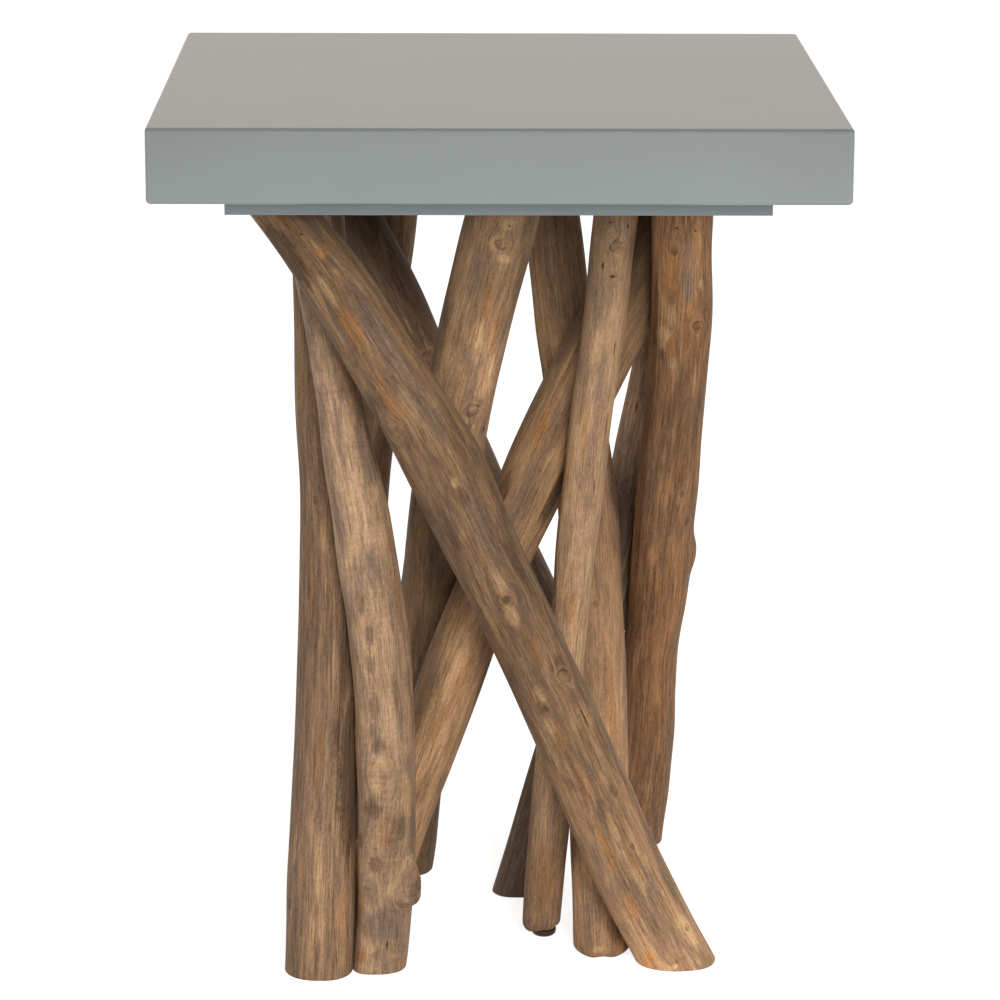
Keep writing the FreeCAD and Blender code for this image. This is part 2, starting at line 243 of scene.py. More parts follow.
def branchWood(name, tones, seed, streaky, ripple, patchy):
    material, tree, shader = newMaterial(name)
    base, warm, weathered = (paint(*tone) for tone in tones)
    fibre = attribute(tree, "fibre").outputs["Vector"]
    grain = {
        kind: noise(tree, fibre, scale, seed + offset, *rest)
        for kind, (scale, offset, *rest) in woodLook["grains"].items()
    }

    def mixed(gains, streaks=1.0):  # noises about zero, added up
        return total(tree, *(
            centred(tree, grain[kind], gain * (streaks if kind == "streak" else 1))
            for kind, gain in gains.items()
        ))

    # layers of the stem with edges torn along the grain
    torn = mixed(woodLook["torn"], streaky)
    inner, grey, bared = (
        fade(tree, total(tree, grain[kind], torn), *edge) for kind, edge in woodLook["layerEdges"].items()
    )
    colour = blend(tree, inner, base, warm)
    colour = blend(tree, times(tree, grey, woodLook["greyCover"] * patchy), colour, weathered)
    colour = blend(tree, times(tree, bared, woodLook["freshCover"] * patchy), colour, woodLook["fresh"])
    contrast = woodLook["lineLightness"] * streaky
    light = total(
        tree, 1.0, mixed(woodLook["lightness"], streaky),
        fade(tree, grain["lines"], *woodLook["lineEdges"], -contrast, contrast),
        centred(tree, grain["rays"], ripple),
    )
    cracked = fade(tree, grain["crack"], *woodLook["crackEdges"], 0.0, woodLook["crackCover"])
    colour = blend(tree, cracked, scaled(tree, colour, light), woodLook["dark"])

    # stains and patches of painted shade, likewise torn
    broken = total(tree, times(tree, torn, woodLook["patchFollow"]), mixed(woodLook["patchTorn"]))
    for patchKind, cover in patchKinds.items():
        away, strength, _ = split(tree, attribute(tree, patchKind).outputs["Vector"])
        amount = fade(tree, total(tree, away, broken), *woodLook["patchEdges"], cover, 0.0)
        amount = calc(tree, "MINIMUM", times(tree, amount, strength), woodLook["mostCover"])
        colour = blend(tree, amount, colour, scaled(tree, woodLook[patchKind][:3], light))

    # knots: a darker core with faint rings, an outline on one side, a pale fringe
    reach, coreDark, outline = split(tree, attribute(tree, "knots").outputs["Vector"])
    rim = total(tree, reach, mixed(woodLook["knotTorn"]))

    def beyond(name):
        return fade(tree, rim, *knotLook[name])

    def within(name, most=1.0):
        return fade(tree, rim, *knotLook[name], most, 0.0)

    ring = calc(tree, "SINE", times(tree, rim, knotLook["ringPace"]))
    rings = times(tree, within("ringEnd"), fade(tree, ring, 0.0, 1.0, 0.0, knotLook["ringDark"]))
    core = total(tree, within("core", knotLook["coreDark"]), rings)
    edge = times(tree, times(tree, beyond("outlineStart"), within("outlineEnd")), outline)
    paler, palest = knotLook["fringePale"]
    fringe = times(tree, beyond("fringeStart"), within("fringeEnd"))
    fringe = times(tree, fringe, calc(tree, "MINIMUM", times(tree, outline, paler), palest))
    colour = blend(tree, fringe, colour, woodLook["fresh"])
    shade = calc(tree, "MAXIMUM", times(tree, core, coreDark), times(tree, edge, knotLook["outlineDark"]))
    shade = calc(tree, "MINIMUM", shade, woodLook["mostCover"])
    colour = blend(tree, shade, colour, woodLook["knotDark"])
    # painted light and shade along the branch scales the colour
    colour = scaled(tree, colour, attribute(tree, "paintedLightShade").outputs["Fac"])

    steps = zip((grey, bared, shade, edge), woodLook["steps"])
    height = total(tree, mixed(woodLook["relief"]), *(times(tree, area, rise) for area, rise in steps))
    rough = total(
        tree, woodLook["roughness"], centred(tree, grain["lines"], woodLook["lineRoughness"]),
        times(tree, grey, woodLook["greyRoughness"]),
    )
    finish(tree, shader, colour, rough, height, *woodLook["bump"])
    for socket, value in woodLook["finish"].items():
        shader.inputs[socket].default_value = value
    return material


# branches: level oval rings on a cubic line, then facets, swells, knots, stains, painted shade patches and
# painted light and shade along each branch

branchBuild = {
    "around": 144,
    "along": (17, 20),          # two passes of cuts
    "endInsets": (0.05, 0.25, 0.3),
    "lip": (0, 0.25, 0.7, 1.4, 2.3, 3.4, 4.8),                   # first rings above the foot, in mm
    "facets": ((2, 0.55), (3, 0.45), (4, 0.3), (7, 0.14)),       # ridges round the branch, depth in mm
    "waves": ((0.26, 0.5, 0), (0.13, 0.4, 1), (0.07, 0.16, 2)),  # length, depth in mm, turns
    "wander": (0.4, 1.2),       # least and most turn of a ridge, in radians
    "pace": (0.25, 0.5),        # length of one such turn
    "flow": 0.85,               # how strongly fibres part round a knot
    "knotLobes": (0.08, 0.04),  # two and three lobes on a knot's outline
    "knotSlope": (2.4, 0.8),    # power and pace
    "stubRun": (0.55, 1.5),     # a sawn side branch runs out slowly above and soon below
    "stubSlope": (1.5, 0.75, 1.5),  # end, width and power
    "footLobes": (0.3, 0.2),    # two and five lobes on the rounding of a foot
    "smoothBelow": 50,          # degrees
    "seedPace": 1.37,           # sets each branch's grain apart
    "far": 9.0,                 # further than any mark reaches
}
knotKinds = {  # darkness of the core and of the outline, and how far the outline opens on one side
    "ring": (0.5, 0.7, 0.6),
    "knob": (0.12, 0.9, 0.8),
    "swirl": (0.12, 0.18, 0.9),
    "smudge": (0.9, 0.4, 0.5),
    "dot": (2.6, 0.3, 0.3),
    "slit": (2.2, 0.2, 0.3),
    "stub": (0.1, 0.25, 0.7),
}
flowKinds = ("ring", "knob", "swirl", "smudge", "stub")  # knots that part the fibres
plugSeat = {  # a shallow seat with a dark line round each plug
    "line": 5.1 * mm,
    "wall": 5.7 * mm,
    "wallWidth": 0.9 * mm,
    "depth": 1.8 * mm,
    "dark": (0.3, 0.25),        # inside and on the line
    "calm": 5.5 * mm,           # the branch's own relief dies away towards the seat
    "calmWidth": 9 * mm,
    "plugLength": 8 * mm,
    "buried": 9 * mm,           # a plug's middle lies at most this far under the skin
    "apart": 16 * mm,
}


def pickOut(kind):  # edit mode with only the upright edges or the level faces selected
    mesh = bpy.context.object.data
    bpy.ops.object.mode_set(mode="EDIT")
    bpy.ops.mesh.select_mode(type=kind)
    bpy.ops.mesh.select_all(action="DESELECT")
    bpy.ops.object.mode_set(mode="OBJECT")
    if kind == "EDGE":
        for edge in mesh.edges:
            low, high = (mesh.vertices[number].co for number in edge.vertices)
            edge.select = (low.xy - high.xy).length < 1e-4
    else:
        for face in mesh.polygons:
            face.select = abs(face.normal.z) > 0.9
    bpy.ops.object.mode_set(mode="EDIT")


def ringedCylinder(around, passes):  # unit cylinder cut into level rings
    bpy.ops.object.select_all(action="DESELECT")
    bpy.ops.mesh.primitive_cylinder_add(vertices=around, radius=1, depth=1, end_fill_type="NGON")
    for cuts in passes:
        pickOut("EDGE")
        bpy.ops.mesh.subdivide(number_cuts=cuts - 1)
        bpy.ops.object.mode_set(mode="OBJECT")
    return bpy.context.object


def blankLog():
    piece = ringedCylinder(branchBuild["around"], branchBuild["along"])
    pickOut("FACE")
    for width in branchBuild["endInsets"]:
        bpy.ops.mesh.inset(thickness=width)
    bpy.ops.mesh.poke()
    bpy.ops.object.mode_set(mode="OBJECT")
    return piece


def solidsOf(node, apart, axes):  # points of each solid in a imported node
    points = np.array([vertex.co for vertex in frame["nodes"][node].data.vertices])
    while len(points):
        near = norm((points - points[0])[:, :axes], axis=1) < apart
        yield points[near]
        points = points[~near]


def wrapped(angle):
    return (angle + np.pi) % (2 * np.pi) - np.pi


def eased(heights, points):  # points given along the branch, joined smoothly
    samples, width = 400, 41
    places, values = zip(*points)
    spread = np.linspace(heights.min(), heights.max(), samples)
    rough = np.interp(spread, places, values)
    window = np.hanning(width)
    padded = np.pad(rough, width // 2, mode="edge")
    return np.interp(heights, spread, np.convolve(padded, window / window.sum(), mode="valid"))


def peelRelief(look, bearing, length):  # facets and waves left by peeling and sanding
    fullTurn = 6.28
    chance = np.random.default_rng(look["seed"])
    relief = np.zeros(len(bearing))
    for count, deep in branchBuild["facets"]:
        phase = chance.uniform(0, fullTurn)
        wander, pace = (chance.uniform(*branchBuild[name]) for name in ("wander", "pace"))
        turned = count * bearing + phase + wander * np.sin(length / pace * fullTurn + phase)
        relief += deep * look["lumpy"] * mm * np.cos(turned)
    for span, deep, turns in branchBuild["waves"]:
        phase = chance.uniform(0, fullTurn)
        relief += deep * look["lumpy"] * mm * np.cos(length / span * fullTurn + phase + turns * bearing)
    return relief


def lay(field, away, *values):  # the nearest mark counts
    closer = away < field[:, 0]
    field[closer, 0] = away[closer]
    for column, value in enumerate(values, 1):
        field[closer, column] = value[closer] if isinstance(value, np.ndarray) else value


def growBranch(node, look):
    piece = blankLog()
    piece.name = piece.data.name = node.replace("branch_", "") + "_wood"
    mesh = piece.data
    raw = np.empty(len(mesh.vertices) * 3)
    mesh.vertices.foreach_get("co", raw)
    raw = raw.reshape(-1, 3)
    angle = np.arctan2(raw[:, 0], -raw[:, 1])
    share = np.hypot(raw[:, 0], raw[:, 1])
    rings = math.prod(branchBuild["along"])
    step = np.rint((raw[:, 2] + 0.5) * rings).astype(int)

    # level of every ring, close together where the foot is rounded
    foot, top = look["foot"] * mm, look["top"] * mm
    lip = foot + np.array(branchBuild["lip"]) * mm
    levels = np.concatenate([lip, np.linspace(lip[-1], top, rings + 2 - len(lip))[1:]])
    stations = np.array([foot, top / 3, top * 2 / 3, top])
    across, depth, wide = (np.polyfit(stations, values, 3) for values in np.array(look["line"]).T * mm)
    sway = eased(levels, [(h * mm, shift * mm) for h, shift, _ in look["sway"]])
    swell = eased(levels, [(h * mm, change * mm) for h, _, change in look["sway"]])
    centre = np.stack([np.polyval(across, levels) + sway, np.polyval(depth, levels), levels], 1)
    radius = (np.polyval(wide, levels) + swell) / 2
    tangent = np.gradient(centre, levels, axis=0)
    tangent /= norm(tangent, axis=1)[:, None]
    arc = np.concatenate([[0], np.cumsum(norm(np.diff(centre, axis=0), axis=1))])
    run = np.array(look["line"][3][:2]) * mm - np.array(look["line"][0][:2]) * mm
    stretch = math.sqrt(1 + run @ run / top ** 2)
    lean = run / norm(run)

    facing = np.stack([np.sin(angle), -np.cos(angle)], 1)
    oval = facing + (stretch - 1) * (facing @ lean)[:, None] * lean
    outward = np.concatenate([oval, np.zeros((len(oval), 1))], 1)
    axis = tangent[step]
    side = np.array([1.0, 0, 0]) - axis[:, :1] * axis
    side /= norm(side, axis=1)[:, None]
    back = np.cross(axis, side)

    def straightened(offset):  # place of a point in the branch laid straight
        along = (offset * axis).sum(1)
        return (offset * side).sum(1), (offset * back).sum(1), arc[step] + along

    rim = outward * radius[step][:, None]
    sideways, backward, length = straightened(rim)
    bearing = np.arctan2(sideways, -backward)
    girth = np.hypot(sideways, backward)
    relief = peelRelief(look, bearing, length)

    # marks: knots, dots and slits with the fibres parted round them, and stains and patches of painted shade
    unmarked = np.tile([branchBuild["far"], 0.0, 0.0], (len(raw), 1))
    knots = unmarked.copy()
    patches = {kind: unmarked.copy() for kind in patchKinds}
    parting = np.zeros(len(raw))
    onSide = share > 0.99
    marks = [(kind, *place) for kind, places in look["marks"].items() for place in places]
    for kind, height, where, wideHalf, longHalf, rise in marks:
        miss = np.abs(levels[step] - height * mm) + np.abs(wrapped(angle - math.radians(where))) * girth
        spot = np.argmin(np.where(onSide, miss, branchBuild["far"]))
        offAround = wrapped(bearing - bearing[spot]) * girth
        offAlong = length - length[spot]
        if kind == "stub":
            offAlong = offAlong * np.where(offAlong > 0, *branchBuild["stubRun"])
        away = np.hypot(offAround / (wideHalf * mm), offAlong / (longHalf * mm))
        if kind in patchKinds:
            lay(patches[kind], away, rise)
            continue
        clock = np.arctan2(offAlong / longHalf, offAround / wideHalf)
        two, three = branchBuild["knotLobes"]
        away = away * (1 + two * np.cos(2 * clock + height) + three * np.cos(3 * clock + where))
        if kind == "stub":
            end, width, power = branchBuild["stubSlope"]
            relief += rise * mm * np.clip((end - away) / width, 0, 1) ** power
        else:
            power, pace = branchBuild["knotSlope"]
            relief += rise * mm * np.exp(-away ** power * pace)
        core, outline, opening = knotKinds[kind]
        lay(knots, away, core, outline * (1 - opening * (0.5 - 0.5 * np.cos(clock + height))))
        if kind in flowKinds:
            parting -= offAround * branchBuild["flow"] / np.maximum(away, 1) ** 2 / girth

    # seats of the plugs that are in this branch
    for place in look["plugs"]:
        level = np.argmin(np.abs(levels - place[2]))
        inward = centre[level] - place
        buried = radius[level] - norm(inward)
        if not 0 < buried < plugSeat["buried"]:
            continue
        inward /= norm(inward)
        fromPlug = centre[step] + rim - place
        depthIn = fromPlug @ inward
        gap = norm(fromPlug - depthIn[:, None] * inward, axis=1)
        gap += np.where(depthIn > plugSeat["plugLength"], 1.0, 0.0)  # not on the far side
        calm = np.clip((gap - plugSeat["calm"]) / plugSeat["calmWidth"], 0, 1)
        sunk = np.clip((plugSeat["wall"] - gap) / plugSeat["wallWidth"], 0, 1)
        relief = relief * calm - plugSeat["depth"] * sunk
        lay(knots, gap / plugSeat["line"], *plugSeat["dark"])

    # rounded foot
    two, five = branchBuild["footLobes"]
    lobes = 1 + two * np.cos(2 * bearing + look["seed"]) + five * np.cos(5 * bearing)
    trim = look["footRound"] * mm * lobes
    drop = np.clip(1 - (levels[step] - foot) / trim, 0, 1)
    cutBack = trim * (1 - np.sqrt(1 - drop ** 2))
    reachOut = (radius[step] + relief - cutBack) * share
    placed = centre[step] + outward * reachOut[:, None]
    mesh.vertices.foreach_set("co", placed.ravel())
    mesh.update()

    sideways, backward, length = straightened(outward * ((radius[step] + relief) * share)[:, None])
    turn = parting + look["twist"] * length
    fibre = np.stack([
        sideways * np.cos(turn) - backward * np.sin(turn),
        sideways * np.sin(turn) + backward * np.cos(turn),
        length,
    ], 1)
    for name, values in (("fibre", fibre), ("knots", knots), *patches.items()):
        mesh.attributes.new(name, "FLOAT_VECTOR", "POINT").data.foreach_set("vector", values.ravel())
    # painted light and shade: the wood is made lighter or darker along each branch's height
    paintedLightShade = eased(levels, [(h * mm, lightness) for h, lightness in look["paintedLightShade"]])
    mesh.attributes.new("paintedLightShade", "FLOAT", "POINT").data.foreach_set("value", paintedLightShade[step])

    bpy.ops.object.select_all(action="DESELECT")
    piece.select_set(True)
    bpy.context.view_layer.objects.active = piece
    bpy.ops.object.shade_smooth_by_angle(angle=math.radians(branchBuild["smoothBelow"]))
    mesh.materials.append(branchWood(
        piece.name, look["tones"], look["seed"] * branchBuild["seedPace"], look["streaky"],
        look["ripple"], look["patchy"],
    ))
    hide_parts(node)
    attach(piece, "root")


plainBranch = {"streaky": 1.0, "ripple": 0.0, "patchy": 1.0, "lumpy": 0.8, "footRound": 1.5}

# each branch, where it differs from a plain one; tones: colours of its wood, deeper layer and bark
# line: across, depth and diameter in mm at the foot, one third, two thirds and the top
# sway: height, shift to the right and change of diameter; painted light and shade: height and how much
# lighter or darker the wood is made there
# marks of each kind: height, angle, half sizes, then rise of a knot or strength of a stain; some dark marks
# are painted shade
branches = {
    "branch_front_diagonal": {
        "line": ((122, -138, 50), (43.5, -130, 51), (-36, -129, 49), (-147, -121, 46)),
        "sway": ((0, 2.2, 1.6), (30, 0.6, 0), (60, 0, -1.6), (110, 0, -3), (165, 0.4, -4.2),
            (195, -0.1, -3.1), (215, -1, -2.5), (296, -3, 0), (345, -0.7, 5), (360, 0, 4.8),
            (385, -1.5, 1.7), (410, -1.6, 1.2), (435, -1.6, 0.4), (460, -0.4, 0.2), (478, 1, 0),
            (519, -0.2, -4)),
        "tones": ((150, 117, 88), (166, 130, 97), (124, 100, 84)),
        "paintedLightShade": ((0, 1.66), (40, 1.44), (66, 1.22), (100, 1.06), (130, 1), (154, 0.9), (198, 0.76),
            (242, 0.66), (330, 0.65), (374, 0.7), (418, 0.79), (462, 0.71), (500, 0.75), (528, 0.8)),
        "seed": 3, "twist": 0.4, "footRound": 1, "patchy": 1.1,
        "marks": {
            "orange": ((512, -4, 3, 10, 0.8), (490, -23, 3, 10, 0.7), (496, 20, 5, 6, 1),
                (446, -11, 6, 15, 0.9), (228, 10, 4, 18, 0.7), (134, 19, 2.5, 3, 0.9),
                (88, -16, 2.6, 19, 0.9), (46, -17, 4, 11, 0.9), (8, -32, 6, 6, 1), (70, 18, 3, 16, 0.5),
                (399, -18, 6, 20, 0.7), (166, -11, 4, 14, 0.7), (128, -7, 5, 20, 0.5)),
            # the dark mark at 494 mm, a long strip on the left side under the top, is painted shade
            "dark": ((494, -46, 10, 28, 1.2), (488, 18, 4, 6, 0.8), (333, 10, 4.5, 9, 0.7),
                (261, 3, 3.2, 3.2, 0.9), (216, 37, 4.5, 8, 0.8), (192, 36, 3, 8, 0.7),
                (184, -17, 3.2, 3.2, 0.9), (131, -28, 3, 5, 0.7), (126, 36, 3, 5, 0.7), (8, 10, 7, 1.8, 0.5),
                (287, 45, 5, 20, 0.7), (160, 49, 4, 18, 0.7)),
            "pale": ((470, -16, 3, 13, 0.8), (396, 6, 6, 14, 0.4), (342, 7, 2.5, 4, 1.1),
                (273, 2, 5, 10, 0.8), (250, -1, 5, 10, 1.1), (195, -13, 4, 7, 0.8), (172, -21, 4, 7, 0.7),
                (26, 48, 5.5, 16, 0.8), (4, -2, 4, 2.2, 0.8), (150, 175, 7, 24, 0.7), (64, 13, 4, 14, 0.6),
                (102, 8, 3, 12, 0.6)),
            "grey": ((438, 23, 8, 38, 0.9), (310, 18, 7, 34, 0.7), (390, 26, 6, 26, 0.7)),
            "dot": ((508, 7, 1.1, 1.4, 0),),
            "swirl": ((261, 2, 4.4, 4.6, 0.4), (184, -18, 4.4, 4.6, 0.4), (376, -36, 6, 8, 0.6)),
            "knob": ((206, 35, 4.8, 5, 1.2),),
            "slit": ((178, 37, 0.8, 10, -0.5),),
            "smudge": ((88, 24, 1.8, 2, 0),),
            "ring": ((28, 49, 2, 2.4, 0), (300, 170, 6, 7, 0.5)),
        },
    },
    "branch_left_outer": {
        "line": ((-121.5, -157, 46), (-114, -111, 45), (-113.5, -60, 42), (-122, -11, 38)),
        "sway": ((0, 1.2, 0), (30, 0.5, 0.6), (62, -1.5, 0.8), (97, -1.5, 0), (119, -1.1, -0.2),
            (150, -0.5, 0.3), (182, 0, 0.5), (208, 0, 0.3), (240, 0.9, 0), (262, 0.7, -0.2),
            (284, 0.1, -0.6), (317, -0.2, -1), (328, -0.8, -1), (339, -1.7, -1), (361, -3, -1),
            (405, -3.2, -1), (449, -2.8, -1), (528, -2.6, -1)),
        "tones": ((143, 113, 88), (158, 125, 96), (118, 96, 82)),
        "paintedLightShade": ((0, 1.04), (66, 1.18), (110, 1.06), (154, 0.9), (242, 0.87), (300, 0.94), (528, 0.98)),
        "seed": 8, "streaky": 1.2, "lumpy": 0.5, "twist": 0.1, "footRound": 1, "patchy": 0.7,
        "marks": {
            "orange": ((250, -37, 3, 18, 0.6), (42, 40, 5, 18, 0.45), (72, -34, 3, 12, 0.4),
                (160, 175, 7, 30, 0.6), (146, -10, 3, 30, 0.5)),
            # the dark marks at 140 and 216 mm on the right side are painted shadow of the inner left branch
            "dark": ((254, -46, 1.2, 9, 0.8), (140, 55, 15, 60, 1.4), (276, 6, 2, 24, 0.4),
                (216, 31, 6, 40, 0.9)),
            "pale": ((208, 8, 0.8, 30, 0.6), (34, -3, 4, 10, 0.4), (80, -5, 3, 24, 0.6)),
            "smudge": ((314, -27, 2, 3, 0), (47, -63, 2, 4, 0)),
            "grey": ((168, -56, 5, 44, 0.6), (119, -3, 5, 30, 0.5)),
            "ring": ((380, 165, 6, 7, 0.5),),
        },
    },
    "branch_left_inner": {
        "line": ((-80, -152, 36), (-76, -127, 40), (-99, -105, 36), (-131, -80, 33)),
        "sway": ((0, 0.3, -0.6), (40, -0.7, -0.8), (76, -1.7, 1.2), (95, -1.5, 2.2), (127, -0.9, 1.7),
            (160, -1, 1.8), (190, -0.3, 0), (241, 1.2, 0), (280, -0.5, 0.8), (300, -0.6, 1.2),
            (315, -0.2, 2.2), (340, -1.8, -0.5), (388, -0.5, -2.6), (449, -0.3, -2.2), (528, 0, -1)),
        "tones": ((176, 143, 113), (192, 156, 124), (144, 118, 101)),
        "paintedLightShade": ((0, 0.88), (66, 0.84), (100, 0.76), (130, 0.95), (154, 0.98), (198, 0.88), (242, 0.87),
            (286, 1.04), (330, 0.95), (374, 0.9), (528, 0.92)),
        "seed": 12, "streaky": 0.65, "lumpy": 1.1, "twist": -0.3, "ripple": 0.4, "patchy": 1.15,
        "marks": {
            "pale": ((320, -8, 2, 8, 0.9), (292, -14, 5, 12, 0.6), (298, 44, 5, 14, 0.6),
                (242, -26, 2.5, 4, 1.1), (224, -11, 2, 4, 1.1), (174, -42, 3, 8, 1.1), (146, -3, 6, 6, 0.9),
                (128, -17, 5, 4, 0.8), (94, -10, 4, 10, 0.9), (60, 13, 3, 8, 1), (18, -26, 3, 3, 1.2),
                (12, 30, 2, 2.5, 0.7), (420, 165, 6, 24, 0.7), (122, 42, 6, 18, 1)),
            "orange": ((294, 70, 3, 10, 0.8), (44, 67, 6, 3, 1), (44, -49, 1.6, 6, 1.1),
                (12, -44, 5, 6, 0.9), (254, 59, 3, 18, 0.7), (99, 3, 6, 12, 0.5)),
            # the dark mark at 360 mm on the right side is painted shadow of the front diagonal branch
            "dark": ((254, -25, 4, 9, 0.6), (232, -15, 4, 7, 0.6), (213, -21, 4, 6, 0.5),
                (185, -16, 4, 10, 0.7), (158, -12, 5, 7, 0.8), (114, -28, 7, 8, 0.8), (102, 30, 7, 9, 0.6),
                (90, -53, 3, 6, 0.7), (62, 53, 6.5, 12, 0.55), (194, 27, 3, 14, 0.5), (360, 83, 4, 34, 0.9)),
            "swirl": ((136, -9, 7, 9, 0.8),),
            "stub": ((53, 56, 9, 12, 6.4),),
            "grey": ((57, -27, 6, 10, 0.8), (34, -6, 13, 12, 0.9), (363, -10, 4, 26, 0.7),
                (276, 10, 4, 18, 0.6)),
            "slit": ((22, 13, 0.8, 6, -0.3),),
            "ring": ((260, 170, 5, 6, 0.5),),
        },
    },
    "branch_rear_diagonal": {
        "line": ((106, 160, 40), (36, 127, 40), (-39.5, 84, 38), (-120, 40, 36)),
        "sway": ((0, 0, 0), (200, -1.5, -1), (260, -2.8, -1), (330, -1, -1), (420, 3.1, -1),
            (470, 2.9, -0.6), (528, 1.8, -1)),
        "tones": ((117, 94, 75), (131, 104, 81), (98, 80, 66)),
        "paintedLightShade": ((0, 1), (198, 1.1), (286, 1.9), (374, 2.1), (418, 1.4), (450, 0.72), (480, 0.38),
            (528, 0.46)),
        "seed": 17, "twist": 0.2,
        "marks": {
            "ring": ((380, 20, 6, 7, 0.5),),
            "smudge": ((120, 160, 5, 6, 0.4),),
            "orange": ((250, 170, 8, 30, 0.7),),
        },
    },
    "branch_rear_left": {
        "line": ((-109, 119, 38), (-101, 110, 37), (-86, 104, 36), (-66, 95, 35)),
        "sway": ((0, 0, 0), (330, 0.2, 0), (470, -1, 0), (528, -1.2, 0)),
        "tones": ((128, 101, 79), (142, 111, 86), (106, 86, 69)),
        "paintedLightShade": ((0, 1), (400, 1), (460, 1.2), (528, 1.2)),
        "seed": 21, "lumpy": 0.9, "twist": -0.2,
        "marks": {
            "ring": ((300, 150, 6, 7, 0.5),),
            "swirl": ((120, 175, 7, 9, 0.9),),
            "pale": ((420, 165, 7, 26, 0.7),),
        },
    },
    "branch_middle_lean": {
        "line": ((-64.5, 53, 43), (-48, -13, 44), (-28, -66, 46), (8, -118, 49)),
        "sway": ((0, -1.8, 0), (30, -1.7, 0), (66, -1.6, 0.5), (150, -0.5, 0), (234, 0, 0), (280, -0.6, 0),
            (320, -1.7, -0.3), (350, -1.6, -0.7), (404, -2, 0), (445, -0.9, 1.2), (475, -0.4, -0.2),
            (495, -0.6, 0.2), (515, -1.9, -0.5)),
        "tones": ((154, 122, 92), (168, 133, 99), (124, 101, 84)),
        "paintedLightShade": ((0, 0.42), (60, 0.52), (110, 0.76), (198, 0.68), (255, 0.76), (290, 1), (330, 1.14),
            (374, 1.22), (394, 1.6), (414, 1.65), (440, 1.04), (466, 0.78), (528, 0.86)),
        "seed": 26, "streaky": 0.85, "twist": 0.2,
        "marks": {
            "ring": ((499, 7, 4.8, 4.6, 0.4),),
            "pale": ((514, 6, 6, 7, 0.9), (489, 12, 5, 4, 1), (499, -9, 3, 6, 0.8), (433, 4, 3, 10, 0.6),
                (365, 31, 2, 2, 1)),
            "dot": ((512, 10, 1, 1.2, 0),),
            "orange": ((459, 7, 4, 18, 0.6), (320, 175, 8, 30, 0.6), (437, 30, 4, 16, 0.6)),
            "grey": ((478, -28, 5, 24, 0.7),),
            "knob": ((377, 22, 4.4, 4.4, 1.3),),
            "dark": ((382, 35, 2.5, 5, 0.8), (370, -17, 6, 14, 0.5), (436, -27, 3, 22, 0.6)),
            "smudge": ((366, 23, 2.4, 2.4, 0.5),),
            "slit": ((362, 55, 1.2, 2.5, 0),),
            "swirl": ((200, 160, 7, 9, 0.8),),
        },
    },
    "branch_right_front": {
        "line": ((74.5, -121, 39), (71.5, -30, 41), (58, 3, 40), (34, 48, 37)),
        "sway": ((0, -0.4, 0), (26, -0.9, 0.4), (60, -1.8, 1), (90, -1.4, 1.4), (160, 0.8, 0),
            (278, 0.8, 1.2), (320, 0.2, 0.2), (345, -1.1, -0.7), (385, -1.8, -0.4), (410, -3, 1.6),
            (455, -1.4, 2.2), (489, 0, 1.6), (528, 0.2, 1.4)),
        "tones": ((172, 134, 100), (184, 144, 107), (142, 114, 95)),
        "paintedLightShade": ((0, 0.8), (40, 1.4), (110, 1.5), (154, 1.16), (198, 0.84), (240, 0.8), (286, 0.87),
            (374, 1.1), (420, 1.14), (528, 1.1)),
        "seed": 31, "streaky": 0.75, "lumpy": 0.7, "twist": -0.1, "footRound": 6.5, "patchy": 0.75,
        "marks": {
            "pale": ((6, -10, 6, 3, 1.1),),
            "smudge": ((227, 0, 2, 2.4, 0),),
            "grey": ((26, -26, 9, 14, 0.6), (450, 3, 12, 50, 0.5), (202, -13, 4, 26, 0.6)),
            # the dark mark at 304 mm on the right side is painted shade under the thin front and rising
            # branches
            "dark": ((17, 23, 6, 10, 0.6), (284, 2, 10, 30, 0.4), (46, -42, 3, 16, 0.3),
                (304, 71, 7, 26, 1.3)),
            "ring": ((350, 170, 6, 7, 0.5),),
            "orange": ((120, 160, 8, 30, 0.6), (161, 21, 4, 40, 0.5)),
        },
    },
    "branch_thin_front": {
        "line": ((34.5, -88, 27), (47, -91, 28), (64.5, -76, 29), (83, -69, 31)),
        "sway": ((5, -2.2, -0.4), (75, -1.9, 0), (135, -2.4, 0), (165, -2, -0.5), (186, -1.2, -1),
            (246, -2, -1.4), (273, -2.5, 0.2), (298, -1.7, 0.8), (327, -1.3, 0.5), (366, -2.7, -0.7),
            (406, -0.8, -0.4), (448, 0, 0), (480, -1.7, 0.6), (507, -1.4, -0.2), (526, -1.2, -0.4)),
        "tones": ((178, 143, 111), (192, 155, 118), (146, 117, 99)),
        "paintedLightShade": ((0, 0.56), (60, 0.6), (92, 0.88), (120, 1.14), (160, 1.1), (198, 1.02), (242, 1),
            (374, 0.95), (418, 0.79), (462, 0.73), (528, 0.87)),
        "seed": 36, "streaky": 0.7, "lumpy": 0.7, "twist": 0.3, "footRound": 5.5, "patchy": 0.8,
        "marks": {
            "ring": ((487, 18, 4.8, 4.8, 0.5), (300, 165, 4, 5, 0.4)),
            "swirl": ((497, -5, 4, 3.4, 0.5),),
            "dot": ((505, -13, 1, 1.2, 0), (502, 37, 1, 1.2, 0)),
            "slit": ((475, -19, 0.9, 3.5, -0.2), (468, 11, 3.6, 1.1, -0.2)),
            "pale": ((474, 31, 5, 7, 0.9), (421, -17, 2.5, 20, 0.6), (20, -11, 1.5, 7, 0.7)),
            "grey": ((451, -26, 4, 24, 0.8), (397, 7, 4, 24, 0.6), (286, -33, 4, 20, 0.6)),
            "dark": ((418, 37, 0.8, 8, 1.1), (362, 47, 0.8, 11, 1.1), (324, 25, 0.8, 6, 1.1),
                (176, -6, 3, 24, 0.5)),
